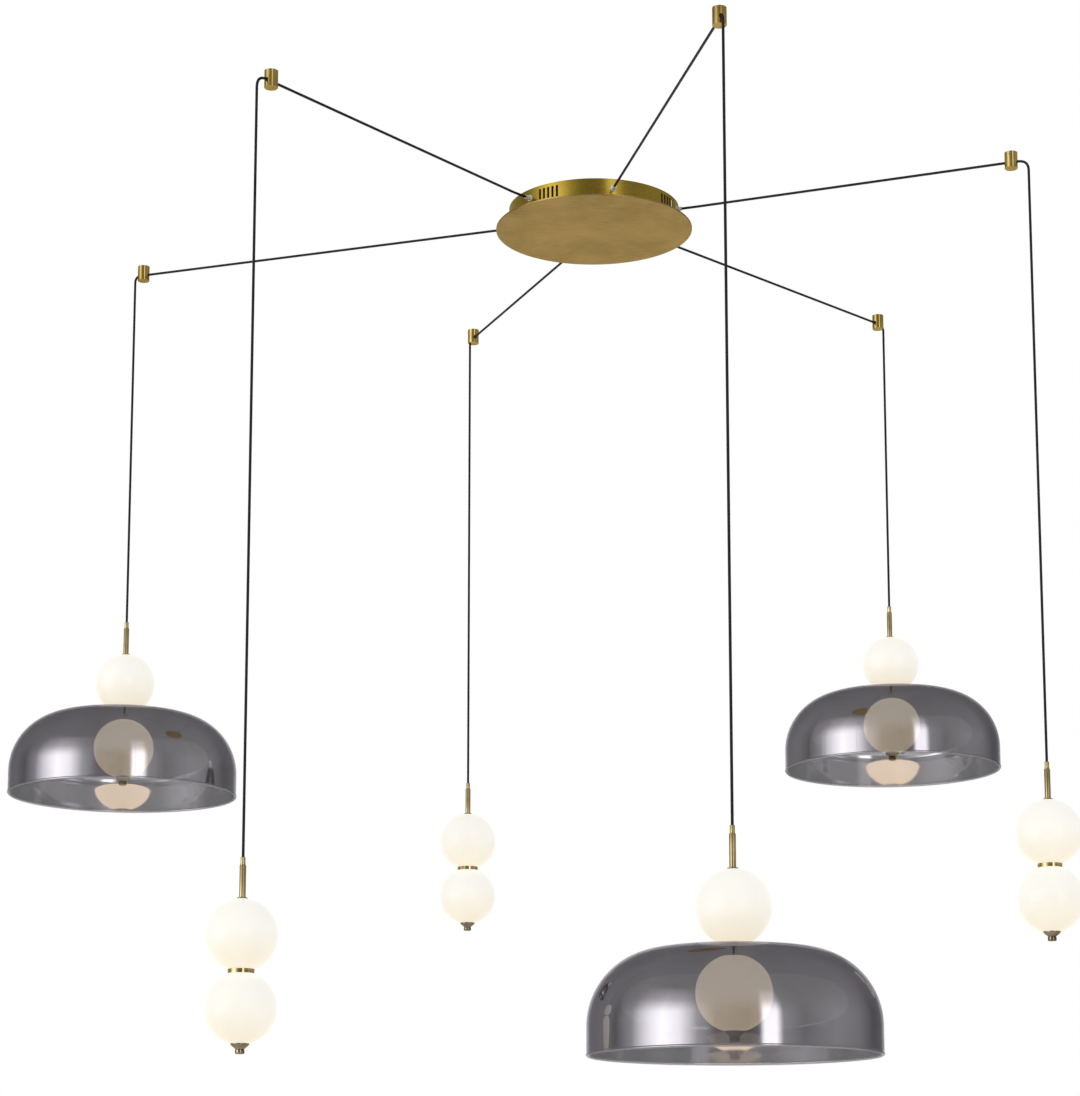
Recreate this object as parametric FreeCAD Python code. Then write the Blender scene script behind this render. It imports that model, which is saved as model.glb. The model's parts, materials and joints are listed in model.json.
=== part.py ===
import FreeCAD, Part
import math
import os

# Cluster pendant: one round ceiling canopy, six cords that run along the ceiling through six
# anchors, and a pendant on each cord. Odd pendants are two opal globes, one above the other.
# Even pendants have the lower globe inside a wide smoked-glass dome.
# Millimetres, +Z up. The origin is the middle of the canopy's ceiling face.

# ---- Driving dimensions: layout ----
# anchor: place on the ceiling (x, y). drop: stem top below the ceiling.
# reach: from the anchor's side to the hanging cord. dome: what kind of pendant hangs there.
PENDANTS = {
    1: {"anchor": (-476.0, -552.0), "drop": 1147.0, "reach": 19.0, "dome": False},
    2: {"anchor": (157.0, -762.0), "drop": 1133.0, "reach": 8.0, "dome": True},
    3: {"anchor": (642.0, -244.0), "drop": 960.0, "reach": 17.0, "dome": False},
    4: {"anchor": (528.0, 532.0), "drop": 541.0, "reach": 6.0, "dome": True},
    5: {"anchor": (-212.0, 615.0), "drop": 848.0, "reach": 8.0, "dome": False},
    6: {"anchor": (-775.0, 272.0), "drop": 629.0, "reach": 6.0, "dome": True},
}
FIRST_OUTLET_FACES = 2       # the canopy's outlets are spread evenly from this anchor's direction

# ---- Driving dimensions: canopy ----
housing_diameter = 278.0
housing_height = 32.0
housing_wall = 1.2
face_diameter = 320.0
face_thickness = 3.0
shadow_gap = 1.5             # between the housing and the face
stud_count = 3
stud_circle = 180.0
stud_diameter = 5.0
stud_length = 12.0           # above the housing's floor
stud_shoulder = 12.0         # diameter of the spacer shoulder in the shadow gap
nut_width = 8.0              # across flats
nut_height = 4.0

vent_groups = 4
vent_slots = 5
vent_slot_width = 4.0
vent_slot_height = 20.0
vent_pitch = 8.0
vent_offset = -44.5          # degrees from the first outlet to the first vent group
screw_offset = 12.0          # degrees from the first outlet to the first side screw

bracket_diameter = 184.0
bracket_thickness = 2.0
bracket_bolt_circle = 150.0
bracket_bolt_count = 4
bracket_bolt_hole = 5.5
bracket_arm_width = 20.0
ear_height = 16.0
ear_clearance = 0.6          # between an ear and the housing's wall
mains_hole = 16.0
mains_hole_offset = 34.0

driver_length = 120.0
driver_width = 42.0
driver_height = 21.0
driver_offset = -30.0        # away from the mains hole
terminal_count = 4
terminal_inset = 6.0         # from the case's end to the terminals' row
terminal_wall = 4.0
terminal_pitch = 8.0
terminal_well = 3.2
terminal_depth = 3.0

# ---- Driving dimensions: cords, grips and anchors ----
cord_diameter = 4.0
cord_level = 15.5            # centre of the level cord below the ceiling
cord_inside = 12.0           # from the housing's outer wall inwards
kink_distance = 25.0         # from the housing's wall to where the cord turns to its anchor
least_turn = 0.5             # degrees: a smaller turn at the outlet is no turn
swing_gap = 0.7              # between the fixed and the hanging cord, at the swing axis
swing_lead = 1.0             # straight cord between the bend and that gap
cord_clearance = 0.15        # radial, in the bores that the cord runs through
grip_length = 10.0
grip_flange_diameter = 10.0
grip_flange = 1.5
grip_tip_diameter = 6.4
grip_neck_diameter = 8.0
grip_nut = 3.0
anchor_diameter = 20.0
anchor_height = 26.0
anchor_chamfer = 0.6
anchor_socket_diameter = 17.2
anchor_socket_depth = 9.0
anchor_mouth = 1.1           # how much wider the cross hole is at its mouths, radial
anchor_mouth_depth = 2.0
base_clearance = 0.2
base_hole = 4.5
base_sink_diameter = 8.4     # countersink for the ceiling screw's head, at 45 degrees
set_screw_diameter = 3.0
set_screw_length = 4.5
set_screw_level = 5.0        # of an anchor's set screw, below the ceiling
side_screw_level = 9.0       # of a canopy's side screw, below the ceiling
thread_clearance = 0.05

# ---- Driving dimensions: pendants ----
globe_diameter = 100.0
globe_wall = 2.2
small_hole = 10.0            # at the stem and at the finial
large_hole = 24.0            # at the ring or the spacer
glass_lip = 1.6              # flat ground round each hole
stem_length = 57.0
stem_diameter = 9.0
stem_collar_diameter = 6.8
stem_collar_length = 10.0
stem_bead_diameter = 7.6
stem_bead = 1.2
stem_flange_diameter = 13.0
stem_flange = 1.6
cord_in_stem = 8.0
column_diameter = 6.4
column_bore = 4.0
column_in_stem = 22.0
column_in_finial = 8.0
lamp_diameter = 20.0
lamp_height = 16.0
ring_diameter = 36.5
ring_height = 6.5
ring_web = 3.0
ring_chamfer = 0.6
finial_disc_diameter = 26.0
finial_nut_diameter = 13.0
finial_height = 13.0
finial_disc_edge = 1.5
finial_nut_height = 7.0
glass_clearance = 0.1        # between a curved brass face and the globe
dome_diameter = 380.0
dome_height = 144.0
dome_wall = 3.0
dome_crown_radius = 790.0    # of the nearly flat top, outside
dome_shoulder_radius = 100.0
dome_rim_bead = 4.6          # diameter of the rounded rim
spacer_length = 12.0
spacer_neck_diameter = 9.0
spacer_flange_diameter = 24.0
spacer_flange = 2.0
spacer_cap_diameter = 30.0
spacer_cap = 3.0

# ---- Worked-out values ----
cord_radius = cord_diameter / 2
housing_radius = housing_diameter / 2
housing_inside = housing_radius - housing_wall
face_top = -(housing_height + shadow_gap)
face_bottom = face_top - face_thickness
globe_radius = globe_diameter / 2
small_seat = math.sqrt(globe_radius ** 2 - (small_hole / 2 + glass_lip) ** 2)
large_seat = math.sqrt(globe_radius ** 2 - (large_hole / 2 + glass_lip) ** 2)
column_fit = column_diameter / 2 + thread_clearance
UP = FreeCAD.Vector(0, 0, 1)


# ---- Small shape helpers ----
def vec(x, y, z=0.0):
    return FreeCAD.Vector(x, y, z)


def polar(radius, degrees, z=0.0):
    return vec(radius * math.cos(math.radians(degrees)), radius * math.sin(math.radians(degrees)), z)


def rod(radius, start, end):
    """A round bar between two points."""
    axis = end - start
    return Part.makeCylinder(radius, axis.Length, start, axis)


def taper(start_radius, end_radius, start, end):
    axis = end - start
    return Part.makeCone(start_radius, end_radius, axis.Length, start, axis)


def block(length, width, height, centre):
    corner = centre - vec(length / 2, width / 2, height / 2)
    return Part.makeBox(length, width, height, corner)


def turned(outline):
    """A solid turned about Z from points (radius, z); an entry of three numbers is the middle of an arc."""
    edges = []
    last = None
    through = None
    for entry in list(outline) + [outline[0]]:
        point = vec(entry[0], 0, entry[1])
        if len(entry) == 3:
            through = point
            continue
        if last is not None:
            if through is not None:
                edges.append(Part.Arc(last, through, point).toShape())
            else:
                edges.append(Part.LineSegment(last, point).toShape())
        last = point
        through = None
    face = Part.Face(Part.Wire(edges))
    return face.revolve(vec(0, 0, 0), UP, 360)


def solid_of(shape):
    """The one solid of a boolean's result."""
    clean = shape.removeSplitter()
    return clean.Solids[0] if len(clean.Solids) == 1 else clean


def pointed(shape, place, direction):
    """Turns a shape modelled along +X at the origin to a level direction, and moves it to its place."""
    copy = shape.copy()
    copy.rotate(vec(0, 0, 0), UP, direction)
    copy.translate(place)
    return copy


def group(solids):
    return Part.makeCompound(list(solids))


def save(name, shape):
    shape.exportStep("parts/" + name + ".step")


# ---- Layout ----
def anchor_place(number):
    x, y = PENDANTS[number]["anchor"]
    return vec(x, y)


def direction_of(vector):
    return math.degrees(math.atan2(vector.y, vector.x))


def outlet_direction(number):
    first = direction_of(anchor_place(FIRST_OUTLET_FACES))
    return first + (number - FIRST_OUTLET_FACES) * 360.0 / len(PENDANTS)


def span_corner(number):
    """Where the cord, straight out of its grip, turns towards its anchor."""
    return polar(housing_radius + kink_distance, outlet_direction(number), -cord_level)


def span_direction(number):
    return direction_of(anchor_place(number) - span_corner(number))


def hang_place(number):
    """The point on the ceiling above the hanging cord."""
    reach = anchor_diameter / 2 + PENDANTS[number]["reach"]
    return anchor_place(number) + polar(reach, span_direction(number))


def bend_radius(number):
    return PENDANTS[number]["reach"]


def swing_height(number):
    """Height of the swing axis."""
    return -(cord_level + bend_radius(number) + swing_lead + swing_gap / 2)


# ---- Canopy ----
def side_angles(first_offset):
    first = outlet_direction(FIRST_OUTLET_FACES) + first_offset
    return [first + index * 360.0 / vent_groups for index in range(vent_groups)]


def canopy_housing():
    shell = rod(housing_radius, vec(0, 0, -housing_height), vec(0, 0, 0))
    shell = shell.cut(rod(housing_inside, vec(0, 0, -housing_height + housing_wall), vec(0, 0, 1)))
    cuts = []
    slot = block(4 * housing_wall, vent_slot_width, vent_slot_height, vec(housing_radius, 0))
    slot_angle = math.degrees(vent_pitch / housing_radius)
    for middle in side_angles(vent_offset):
        for index in range(vent_slots):
            angle = middle + (index - (vent_slots - 1) / 2) * slot_angle
            cuts.append(pointed(slot, vec(0, 0, -housing_height / 2), angle))
    for number in PENDANTS:
        angle = outlet_direction(number)
        start = polar(housing_inside - 3, angle, -cord_level)
        end = polar(housing_radius + 3, angle, -cord_level)
        cuts.append(rod(grip_neck_diameter / 2 + thread_clearance, start, end))
    for angle in side_angles(screw_offset):
        start = polar(housing_inside - 3, angle, -side_screw_level)
        end = polar(housing_radius + 3, angle, -side_screw_level)
        cuts.append(rod(set_screw_diameter / 2 + thread_clearance, start, end))
    for place in stud_places():
        low = place + vec(0, 0, -housing_height - 1)
        high = place + vec(0, 0, -housing_height + housing_wall + 1)
        cuts.append(rod(stud_diameter / 2 + thread_clearance, low, high))
    return solid_of(shell.cut(cuts))


def stud_places():
    return [polar(stud_circle / 2, 90 + index * 360.0 / stud_count) for index in range(stud_count)]


def canopy_face():
    disc = turned([
        (0, face_bottom),
        (face_diameter / 2 - 0.8, face_bottom),
        (face_diameter / 2, face_bottom + 0.8),
        (face_diameter / 2, face_top),
        (0, face_top),
    ])
    studs = []
    for place in stud_places():
        shoulder_top = place + vec(0, 0, -housing_height)
        studs.append(rod(stud_shoulder / 2, place + vec(0, 0, face_top), shoulder_top))
        studs.append(rod(stud_diameter / 2, place + vec(0, 0, face_top), stud_tip(place)))
    return solid_of(disc.fuse(studs))


def stud_tip(place):
    return place + vec(0, 0, -housing_height + housing_wall + stud_length)


def face_nuts():
    nuts = []
    for place in stud_places():
        seat = place + vec(0, 0, -housing_height + housing_wall)
        corner = nut_width / math.sqrt(3)
        points = [seat + polar(corner, 60 * index) for index in range(7)]
        prism = Part.Face(Part.makePolygon(points)).extrude(vec(0, 0, nut_height))
        bore = rod(stud_diameter / 2 + thread_clearance, seat - UP, seat + vec(0, 0, nut_height + 1))
        nuts.append(prism.cut(bore))
    return group(nuts)


def ceiling_bracket():
    plate = rod(bracket_diameter / 2, vec(0, 0, -bracket_thickness), vec(0, 0, 0))
    ear_outside = housing_inside - ear_clearance
    arm_length = ear_outside - bracket_diameter / 4
    arm = block(
        arm_length, bracket_arm_width, bracket_thickness,
        vec(ear_outside - arm_length / 2, 0, -bracket_thickness / 2))
    ear = block(
        bracket_thickness, bracket_arm_width, ear_height,
        vec(ear_outside - bracket_thickness / 2, 0, -ear_height / 2))
    angles = side_angles(screw_offset)
    arms = [pointed(arm.fuse(ear), vec(0, 0), angle) for angle in angles]
    holes = []
    for angle in angles:
        start = polar(ear_outside - 2 * bracket_thickness, angle, -side_screw_level)
        end = polar(ear_outside + 1, angle, -side_screw_level)
        holes.append(rod(set_screw_diameter / 2 + thread_clearance, start, end))
    for index in range(bracket_bolt_count):
        place = polar(bracket_bolt_circle / 2, 45 + index * 360.0 / bracket_bolt_count)
        holes.append(rod(bracket_bolt_hole / 2, place - vec(0, 0, bracket_thickness + 1), place + UP))
    mains = vec(0, mains_hole_offset)
    holes.append(rod(mains_hole / 2, mains - vec(0, 0, bracket_thickness + 1), mains + UP))
    return solid_of(plate.fuse(arms).cut(holes))


def led_driver():
    """The electronics case with its terminal end, screwed under the bracket."""
    top = -bracket_thickness
    case = block(driver_length, driver_width, driver_height, vec(0, driver_offset, top - driver_height / 2))
    case = case.makeFillet(2.0, [edge for edge in case.Edges if is_upright(edge)])
    terminal_x = driver_length / 2 - terminal_inset
    terminal_face = top - driver_height / 2
    notch = block(
        2 * terminal_inset + 2, driver_width - 2 * terminal_wall, driver_height / 2,
        vec(terminal_x, driver_offset, top - driver_height * 0.75))
    case = case.cut(notch)
    wells = []
    for index in range(terminal_count):
        y = driver_offset + (index - (terminal_count - 1) / 2) * terminal_pitch
        wells.append(rod(
            terminal_well / 2, vec(terminal_x, y, terminal_face - 1),
            vec(terminal_x, y, terminal_face + terminal_depth)))
    return solid_of(case.cut(wells))


def is_upright(edge):
    ends = [vertex.Point for vertex in edge.Vertexes]
    return len(ends) == 2 and abs(ends[0].x - ends[1].x) < 1e-6 and abs(ends[0].y - ends[1].y) < 1e-6


def outlet_grip(number):
    """A clear cord grip: flange and nose outside the wall, neck through it, nut inside."""
    outside = housing_radius + 0.05
    nut_face = housing_inside - 0.2
    angle = outlet_direction(number)

    def on_axis(distance):
        return polar(distance, angle, -cord_level)

    flange = rod(grip_flange_diameter / 2, on_axis(outside), on_axis(outside + grip_flange))
    nose = taper(grip_neck_diameter / 2, grip_tip_diameter / 2,
                 on_axis(outside + grip_flange), on_axis(outside + grip_length))
    neck = rod(grip_neck_diameter / 2, on_axis(nut_face - grip_nut), on_axis(outside))
    nut = rod(grip_flange_diameter / 2, on_axis(nut_face - grip_nut), on_axis(nut_face))
    bore = rod(cord_radius + cord_clearance, on_axis(nut_face - 2 * grip_nut), on_axis(outside + 2 * grip_length))
    return solid_of(flange.fuse([nose, neck, nut]).cut(bore))


# ---- Anchors ----
def anchor_cap(number):
    """A brass cup over the anchor's base, with a cross hole for the cord."""
    place = anchor_place(number)
    radius = anchor_diameter / 2
    cap = turned([
        (0, -anchor_height),
        (radius - anchor_chamfer, -anchor_height),
        (radius, -anchor_height + anchor_chamfer),
        (radius, 0),
        (0, 0),
    ])
    cap = cap.cut(rod(anchor_socket_diameter / 2, vec(0, 0, -anchor_socket_depth), vec(0, 0, 1)))
    hole = cord_radius + 2 * cord_clearance
    level = vec(0, 0, -cord_level)
    cuts = [rod(hole, level - vec(radius + 1, 0), level + vec(radius + 1, 0))]
    for side in (-1, 1):
        inner = level + vec(side * (radius - anchor_mouth_depth), 0)
        outer = level + vec(side * (radius + anchor_mouth_depth), 0)
        cuts.append(taper(hole, hole + 2 * anchor_mouth, inner, outer))
    screw_line = vec(0, 0, -set_screw_level)
    cuts.append(rod(set_screw_diameter / 2 + thread_clearance, screw_line, screw_line - vec(0, radius + 1)))
    return pointed(solid_of(cap.cut(cuts)), place, span_direction(number))


def anchor_base(number):
    radius = anchor_socket_diameter / 2 - base_clearance
    height = anchor_socket_depth - base_clearance
    base = rod(radius, vec(0, 0, -height), vec(0, 0, 0))
    screw_line = vec(0, 0, -set_screw_level)
    tip = radius + base_clearance + (anchor_diameter - anchor_socket_diameter) / 2 - set_screw_length
    sink_depth = (base_sink_diameter - base_hole) / 2
    base = base.cut([
        rod(base_hole / 2, vec(0, 0, -height - 1), UP),
        taper(base_sink_diameter / 2, base_hole / 2, vec(0, 0, -height), vec(0, 0, -height + sink_depth)),
        rod(set_screw_diameter / 2 + thread_clearance,
            screw_line - vec(0, tip - 0.5), screw_line - vec(0, radius + 1)),
    ])
    return pointed(solid_of(base), anchor_place(number), span_direction(number))


def set_screw(start, direction):
    """A headless screw with a hexagon socket; start is its outer end, direction points inwards."""
    body = rod(set_screw_diameter / 2, vec(0, 0, 0), vec(set_screw_length, 0))
    corner = set_screw_diameter * 0.29
    points = [vec(-0.1, corner * math.cos(math.radians(60 * i)), corner * math.sin(math.radians(60 * i)))
              for i in range(7)]
    socket = Part.Face(Part.makePolygon(points)).extrude(vec(set_screw_length * 0.35, 0))
    return pointed(body.cut(socket), start, direction)


def set_screws():
    screws = []
    for angle in side_angles(screw_offset):
        screws.append(set_screw(polar(housing_radius, angle, -side_screw_level), angle + 180))
    for number in PENDANTS:
        side = span_direction(number) - 90
        start = anchor_place(number) + polar(anchor_diameter / 2, side, -set_screw_level)
        screws.append(set_screw(start, side + 180))
    return group(screws)


# ---- Cords ----
def cord_tube(name, points, radii):
    """A tube along straight runs joined by tangent arcs of the given radii."""
    edges = []
    start = points[0]
    for index in range(1, len(points) - 1):
        corner = points[index]
        before = (points[index - 1] - corner).normalize()
        after = (points[index + 1] - corner).normalize()
        turn = math.pi - before.getAngle(after)
        cut_back = radii[index - 1] * math.tan(turn / 2)
        first = corner + before * cut_back
        last = corner + after * cut_back
        inward = (before + after).normalize()
        middle = corner + inward * (radii[index - 1] / math.cos(turn / 2) - radii[index - 1])
        edges.append(Part.LineSegment(start, first).toShape())
        edges.append(Part.Arc(first, middle, last).toShape())
        start = last
        print(name, "bend", index, "radius", round(radii[index - 1], 1), "turn", round(math.degrees(turn), 1))
    edges.append(Part.LineSegment(start, points[-1]).toShape())
    path = Part.Wire(edges)
    circle = Part.Circle(points[0], points[1] - points[0], cord_radius)
    tube = path.makePipeShell([Part.Wire([circle.toShape()])], True, False)
    expected = math.pi * cord_radius ** 2 * path.Length
    print(name, "length", round(path.Length, 1), "volume against section x length", round(tube.Volume / expected, 5))
    return tube


def span_points(number):
    """From inside the housing, out of the grip, along the ceiling, through the anchor and down."""
    inside = polar(housing_radius - cord_inside, outlet_direction(number), -cord_level)
    corner = span_corner(number)
    over_drop = hang_place(number) - vec(0, 0, cord_level)
    end = hang_place(number) + vec(0, 0, swing_height(number) + swing_gap / 2)
    turn = abs(span_direction(number) - outlet_direction(number)) % 360
    if min(turn, 360 - turn) < least_turn:
        return [inside, over_drop, end]
    return [inside, corner, over_drop, end]


def cord_span(number):
    points = span_points(number)
    radii = [bend_radius(number)]
    if len(points) == 4:
        turn = (points[1] - points[0]).getAngle(points[2] - points[1])
        shorter = (points[1] - points[0]).Length
        radii.insert(0, 0.45 * shorter / math.tan(turn / 2))
    return cord_tube("cord_span_%d" % number, points, radii)


def cord_drop(number):
    place = hang_place(number)
    top = place + vec(0, 0, swing_height(number) - swing_gap / 2)
    bottom = place + vec(0, 0, -PENDANTS[number]["drop"] - cord_in_stem)
    print("cord_drop_%d" % number, "length", round(top.z - bottom.z, 1))
    return rod(cord_radius, bottom, top)


# ---- Pendant pieces, modelled with the stem's top at the origin ----
upper_centre = -(stem_length + small_seat)
ring_middle = upper_centre - large_seat - ring_web / 2
dome_top = upper_centre - large_seat


def lower_centre(with_dome):
    if with_dome:
        return dome_top - dome_wall - spacer_length - large_seat
    return ring_middle - ring_web / 2 - large_seat


def stem():
    tube_top = -(stem_collar_length + stem_bead)
    flange_top = -(stem_length - stem_flange)
    outside = turned([
        (0, 0),
        (stem_collar_diameter / 2 - 0.4, 0),
        (stem_collar_diameter / 2, -0.4),
        (stem_collar_diameter / 2, -stem_collar_length),
        (stem_bead_diameter / 2, -stem_collar_length),
        (stem_bead_diameter / 2, tube_top),
        (stem_diameter / 2 - 0.5, tube_top),
        (stem_diameter / 2, tube_top - 0.5),
        (stem_diameter / 2, flange_top),
        (stem_flange_diameter / 2, flange_top),
        (stem_flange_diameter / 2, -stem_length),
        (0, -stem_length),
    ])
    cord_bore = rod(cord_radius + cord_clearance, vec(0, 0, -cord_in_stem - 2), vec(0, 0, 1))
    wire_bore = rod(column_fit, vec(0, 0, -stem_length - 1), vec(0, 0, -cord_in_stem - 1))
    return solid_of(outside.cut([cord_bore, wire_bore]))


def globe(centre, large_hole_up):
    """A hollow glass ball with a small hole and a large hole, each with a flat ground lip."""
    middle = vec(0, 0, centre)
    ball = Part.makeSphere(globe_radius, middle, UP)
    ball = ball.cut(Part.makeSphere(globe_radius - globe_wall, middle, UP))
    side = 1 if large_hole_up else -1
    cuts = []
    for hole, seat, sign in ((large_hole, large_seat, side), (small_hole, small_seat, -side)):
        pole = middle + vec(0, 0, sign * globe_radius)
        cuts.append(rod(hole / 2, middle + vec(0, 0, sign * globe_radius / 2), pole + vec(0, 0, sign)))
        cuts.append(rod(globe_radius / 2, middle + vec(0, 0, sign * seat), pole + vec(0, 0, sign)))
    return solid_of(ball.cut(cuts))


def light_column(with_dome):
    """The threaded tube that clamps the stack, with a round lamp module in each globe."""
    low = vec(0, 0, finial_seat(with_dome) - column_in_finial)
    high = vec(0, 0, -stem_length + column_in_stem)
    tube = rod(column_diameter / 2, low, high)
    tube = tube.cut(rod(column_bore / 2, low - UP, high + UP))
    solids = [tube]
    for centre in (upper_centre, lower_centre(with_dome)):
        half = vec(0, 0, lamp_height / 2)
        middle = vec(0, 0, centre)
        lamp = rod(lamp_diameter / 2, middle - half, middle + half)
        solids.append(lamp.cut(rod(column_fit, middle - half * 2, middle + half * 2)))
    return group(solids)


def ring():
    """The brass ring between two globes: a web that both lips seat on, and a rim that follows the glass."""
    half = ring_height / 2
    outer = ring_diameter / 2
    rim = turned([
        (0, ring_middle - half),
        (outer - ring_chamfer, ring_middle - half),
        (outer, ring_middle - half + ring_chamfer),
        (outer, ring_middle + half - ring_chamfer),
        (outer - ring_chamfer, ring_middle + half),
        (0, ring_middle + half),
    ])
    for centre in (upper_centre, lower_centre(False)):
        rim = rim.cut(Part.makeSphere(globe_radius + glass_clearance, vec(0, 0, centre), UP))
    web = rod(large_hole / 2 + glass_lip, vec(0, 0, ring_middle - ring_web / 2), vec(0, 0, ring_middle + ring_web / 2))
    bore = rod(column_fit, vec(0, 0, ring_middle - half), vec(0, 0, ring_middle + half))
    return solid_of(rim.fuse(web).cut(bore))


def finial_seat(with_dome):
    return lower_centre(with_dome) - small_seat


def finial(with_dome):
    """A domed disc under the lower globe with a round nut, on the column's end."""
    seat = finial_seat(with_dome)
    nut = finial_nut_diameter / 2
    disc = finial_disc_diameter / 2
    edge_top = seat + globe_radius - math.sqrt(globe_radius ** 2 - disc ** 2)
    edge_low = edge_top - finial_disc_edge
    nut_top = seat - finial_height + finial_nut_height
    bottom = seat - finial_height
    body = turned([
        (0, bottom),
        (nut - 1.0, bottom),
        (nut - 0.3, bottom + 0.3, "arc"),
        (nut, bottom + 1.0),
        (nut, nut_top),
        ((nut + disc) / 2 + 0.8, (nut_top + edge_low) / 2 - 0.9, "arc"),
        (disc, edge_low),
        (disc, edge_top),
        (0, edge_top),
    ])
    body = body.cut(Part.makeSphere(globe_radius + glass_clearance, vec(0, 0, lower_centre(with_dome)), UP))
    boss = rod(small_hole / 2 + glass_lip, vec(0, 0, seat - 2), vec(0, 0, seat))
    bore = rod(column_fit, vec(0, 0, seat - column_in_finial - 0.2), vec(0, 0, seat + 1))
    return solid_of(body.fuse(boss).cut(bore))


def dome_shoulder_height(crown, shoulder, radius, height):
    """Height of the shoulder arc's centre above the rim, so that it meets the crown arc smoothly."""
    return height - crown + math.sqrt((crown - shoulder) ** 2 - (radius - shoulder) ** 2)


def dome_body(radius, crown, shoulder, height, low):
    """A solid of the dome's outline: upright side, shoulder arc and nearly flat crown arc."""
    rim = dome_top - dome_height
    base = dome_shoulder_height(dome_crown_radius, dome_shoulder_radius, dome_diameter / 2, dome_height)
    out = radius - shoulder
    crown_centre = rim + height - crown
    shoulder_centre = rim + base
    lean = math.atan2(out, shoulder_centre - crown_centre)
    meet = (crown * math.sin(lean), crown_centre + crown * math.cos(lean))
    crown_middle = (crown * math.sin(lean / 2), crown_centre + crown * math.cos(lean / 2), "arc")
    turn = (lean + math.pi / 2) / 2
    shoulder_middle = (out + shoulder * math.sin(turn), shoulder_centre + shoulder * math.cos(turn), "arc")
    return turned([
        (0, low),
        (radius, low),
        (radius, shoulder_centre),
        shoulder_middle,
        meet,
        crown_middle,
        (0, rim + height),
    ])


def dome():
    """The smoked-glass shade: a shell of even wall with a rounded rim and a hole for the column."""
    rim = dome_top - dome_height
    outside = dome_body(dome_diameter / 2, dome_crown_radius, dome_shoulder_radius, dome_height, rim)
    inside = dome_body(
        dome_diameter / 2 - dome_wall, dome_crown_radius - dome_wall, dome_shoulder_radius - dome_wall,
        dome_height - dome_wall, rim - 1)
    bead_middle = dome_diameter / 2 - dome_wall / 2
    bead = Part.makeTorus(bead_middle, dome_rim_bead / 2, vec(0, 0, rim + dome_rim_bead / 2), UP)
    hole = rod(column_fit, vec(0, 0, dome_top - 2 * dome_wall), vec(0, 0, dome_top + 1))
    return solid_of(outside.cut(inside).fuse(bead).cut(hole))


def spacer():
    """The brass spool that holds the lower globe under the dome's crown."""
    top = dome_top - dome_wall
    low = top - spacer_length
    flange = spacer_flange_diameter / 2
    neck = spacer_neck_diameter / 2
    cap = spacer_cap_diameter / 2
    rim_drop = large_seat - math.sqrt(globe_radius ** 2 - cap ** 2)
    body = turned([
        (0, top),
        (flange, top),
        (flange, top - spacer_flange + 0.6),
        (flange - 0.6, top - spacer_flange),
        (neck, top - spacer_flange),
        (neck, low + spacer_cap),
        (cap * 0.62, low + spacer_cap * 0.82, "arc"),
        (cap, low - rim_drop + 1.0),
        (cap, low - rim_drop),
        (0, low - rim_drop),
    ])
    body = body.cut(Part.makeSphere(globe_radius + glass_clearance, vec(0, 0, low - large_seat), UP))
    plug = rod(large_hole / 2 + glass_lip, vec(0, 0, low), vec(0, 0, low + spacer_cap / 2))
    bore = rod(column_fit, vec(0, 0, low - spacer_cap), vec(0, 0, top + 1))
    crown_sag = Part.makeSphere(dome_crown_radius - dome_wall, vec(0, 0, top - dome_crown_radius + dome_wall), UP)
    return solid_of(body.fuse(plug).cut(bore).common(crown_sag))


def pendant_pieces(with_dome):
    pieces = {
        "stem": stem(),
        "light_column": light_column(with_dome),
        "upper_globe": globe(upper_centre, large_hole_up=False),
        "lower_globe": globe(lower_centre(with_dome), large_hole_up=True),
        "finial": finial(with_dome),
    }
    if with_dome:
        pieces["dome"] = dome()
        pieces["spacer"] = spacer()
    else:
        pieces["ring"] = ring()
    return pieces


def main():
    os.makedirs("parts", exist_ok=True)
    save("canopy_housing", canopy_housing())
    save("canopy_face", canopy_face())
    save("face_nuts", face_nuts())
    save("ceiling_bracket", ceiling_bracket())
    save("led_driver", led_driver())
    save("set_screws", set_screws())
    save("outlet_grips", group(outlet_grip(number) for number in PENDANTS))
    save("anchor_caps", group(anchor_cap(number) for number in PENDANTS))
    save("anchor_bases", group(anchor_base(number) for number in PENDANTS))
    pieces_of = {with_dome: pendant_pieces(with_dome) for with_dome in (False, True)}
    for number, pendant in PENDANTS.items():
        save("cord_span_%d" % number, cord_span(number))
        save("cord_drop_%d" % number, cord_drop(number))
        place = hang_place(number) - vec(0, 0, pendant["drop"])
        print("hanging cord", number, "at", round(place.x, 3), round(place.y, 3),
              "swing height", round(swing_height(number), 3), "span direction", round(span_direction(number), 3))
        for name, shape in pieces_of[pendant["dome"]].items():
            moved = shape.copy()
            moved.translate(place)
            save("%s_%d" % (name, number), moved)


main()
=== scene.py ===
import json
import math

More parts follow.
